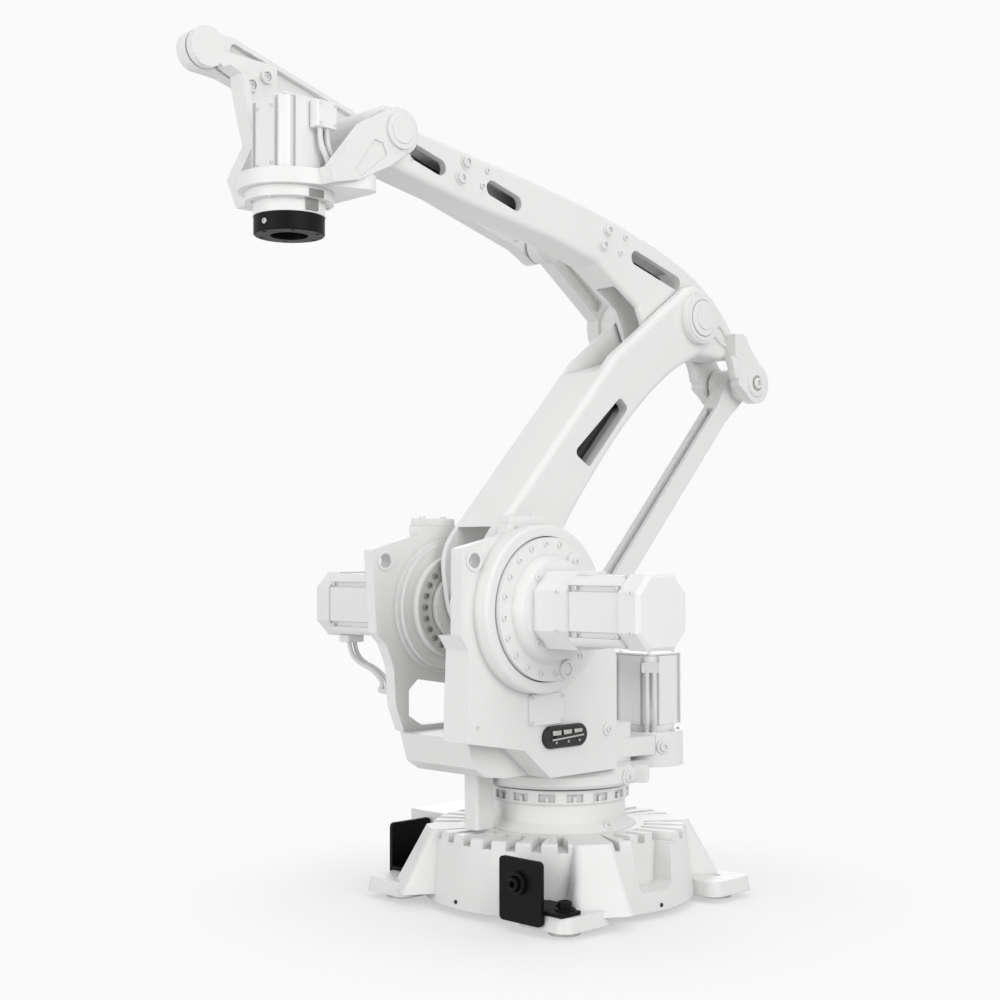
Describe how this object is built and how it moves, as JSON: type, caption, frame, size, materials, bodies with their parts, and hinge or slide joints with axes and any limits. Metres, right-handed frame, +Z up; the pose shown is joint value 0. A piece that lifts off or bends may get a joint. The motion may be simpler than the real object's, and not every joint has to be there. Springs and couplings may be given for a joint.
{
  "type": "palletizing robot arm",
  "caption": "Floor-standing industrial robot arm with a swivelling frame, two long arms, a parallel linkage that keeps the wrist level, and a turning tool flange.",
  "frame": {"origin": "on the swivel axis at floor level, in the middle of the four floor bolt holes", "axes": "+X forwards along the arm, +Y to the robot's left, +Z up"},
  "size_m": [2.0896, 1.332, 2.471],
  "materials": {
    "white_casting_paint": "satin paint over cast iron and aluminium",
    "white_housing_paint": "smoother satin paint over machined housings",
    "black_steel": "black oxide and matt black paint",
    "bare_steel": "turned steel",
    "white_lead_sheath": "pale jacketed lead",
    "black_hose": "ribbed hose",
    "black_plastic": "moulded connector"
  },
  "bodies": {
    "base": {"base_casting": "white_casting_paint", "foot_pads": "bare_steel", "swivel_bearing": "white_casting_paint", "front_left_bracket": "black_steel", "front_right_bracket": "black_steel", "connection_box": "white_housing_paint"},
    "frame": {"frame_neck": "white_casting_paint", "frame_floor": "white_casting_paint", "frame_near_cheek": "white_casting_paint", "frame_far_cheek": "white_casting_paint", "near_gearbox": "white_casting_paint", "far_gearbox": "white_casting_paint", "near_motor_housing": "white_housing_paint", "near_motor": "white_housing_paint", "near_motor_cap": "white_housing_paint", "far_motor_housing": "white_housing_paint", "far_motor": "white_housing_paint", "far_motor_cap": "white_housing_paint", "swivel_motor_housing": "white_housing_paint", "swivel_motor": "white_housing_paint", "near_stop_block": "white_casting_paint", "far_stop_block": "white_casting_paint", "swivel_stop": "white_casting_paint", "service_cover": "white_housing_paint", "connector_panel": "black_plastic", "far_motor_leads": "white_lead_sheath", "swivel_motor_leads": "white_lead_sheath", "levelling_anchor": "white_casting_paint"},
    "lower_arm": {"lower_arm": "white_casting_paint", "elbow_cap": "white_casting_paint", "lower_arm_harness": "black_hose"},
    "crank": {"crank": "white_casting_paint"},
    "crank_pin": {"crank_pin": "bare_steel"},
    "rear_rod": {"rear_rod": "white_casting_paint"},
    "elbow_link": {"elbow_link": "white_casting_paint"},
    "upper_levelling_rod": {"upper_levelling_rod": "white_casting_paint"},
    "lower_levelling_rod": {"lower_levelling_rod": "white_casting_paint"},
    "upper_arm": {"upper_arm": "white_casting_paint", "clevis_pin": "bare_steel", "upper_arm_harness": "black_hose"},
    "tilt_house": {"tilt_house": "white_casting_paint", "wrist_gearbox": "white_casting_paint", "wrist_motor": "white_housing_paint", "wrist_motor_plug": "white_housing_paint", "wrist_motor_leads": "white_lead_sheath", "near_wrist_cap": "white_casting_paint", "far_wrist_cap": "white_casting_paint"},
    "flange": {"tool_flange": "black_steel"}
  },
  "joints": [
    {"name": "swivel_turn", "type": "hinge", "parent": "base", "child": "frame", "pos_m": [0, 0, 0.226], "axis": [0, 0, 1], "range_deg": [-180, 180]},
    {"name": "lower_arm_swing", "type": "hinge", "parent": "frame", "child": "lower_arm", "pos_m": [0.363, 0, 0.89], "axis": [0, 1, 0], "range_deg": [0, 73]},
    {"name": "crank_swing", "type": "hinge", "parent": "frame", "child": "crank", "pos_m": [0.363, 0, 0.89], "axis": [0, 1, 0], "range_deg": [-5, 35]},
    {"name": "elbow_link_level", "type": "hinge", "parent": "lower_arm", "child": "elbow_link", "pos_m": [-0.50319, 0, 1.80918], "axis": [0, 1, 0], "range_deg": [-73.5, 0.5]},
    {"name": "upper_arm_swing", "type": "hinge", "parent": "elbow_link", "child": "upper_arm", "pos_m": [-0.50319, 0, 1.80918], "axis": [0, 1, 0], "range_deg": [-5.5, 35.5]},
    {"name": "tilt_house_level", "type": "hinge", "parent": "upper_arm", "child": "tilt_house", "pos_m": [0.80157, 0, 2.17102], "axis": [0, 1, 0], "range_deg": [-35.5, 5.5]},
    {"name": "upper_rod_swing", "type": "hinge", "parent": "elbow_link", "child": "upper_levelling_rod", "pos_m": [-0.16419, 0, 2.05418], "axis": [0, 1, 0], "range_deg": [-5.5, 35.5]},
    {"name": "lower_rod_swing", "type": "hinge", "parent": "frame", "child": "lower_levelling_rod", "pos_m": [0.065, 0, 0.856], "axis": [0, 1, 0], "range_deg": [-0.5, 73.5]},
    {"name": "crank_pin_level", "type": "hinge", "parent": "crank", "child": "crank_pin", "pos_m": [0.04019, 0, 0.70513], "axis": [0, 1, 0], "range_deg": [-35.5, 5.5]},
    {"name": "rear_rod_swing", "type": "hinge", "parent": "crank_pin", "child": "rear_rod", "pos_m": [0.04019, 0, 0.70513], "axis": [0, 1, 0], "range_deg": [-0.5, 73.5]},
    {"name": "flange_turn", "type": "hinge", "parent": "tilt_house", "child": "flange", "pos_m": [1.03057, 0, 1.88272], "axis": [0, 0, 1], "range_deg": [-300, 300]}
  ],
  "couplings": [
    {"joint": "elbow_link_level", "follows": "lower_arm_swing", "ratio": -1},
    {"joint": "lower_rod_swing", "follows": "lower_arm_swing", "ratio": 1},
    {"joint": "rear_rod_swing", "follows": "lower_arm_swing", "ratio": 1},
    {"joint": "upper_arm_swing", "follows": "crank_swing", "ratio": 1},
    {"joint": "tilt_house_level", "follows": "crank_swing", "ratio": -1},
    {"joint": "upper_rod_swing", "follows": "crank_swing", "ratio": 1},
    {"joint": "crank_pin_level", "follows": "crank_swing", "ratio": -1}
  ]
}
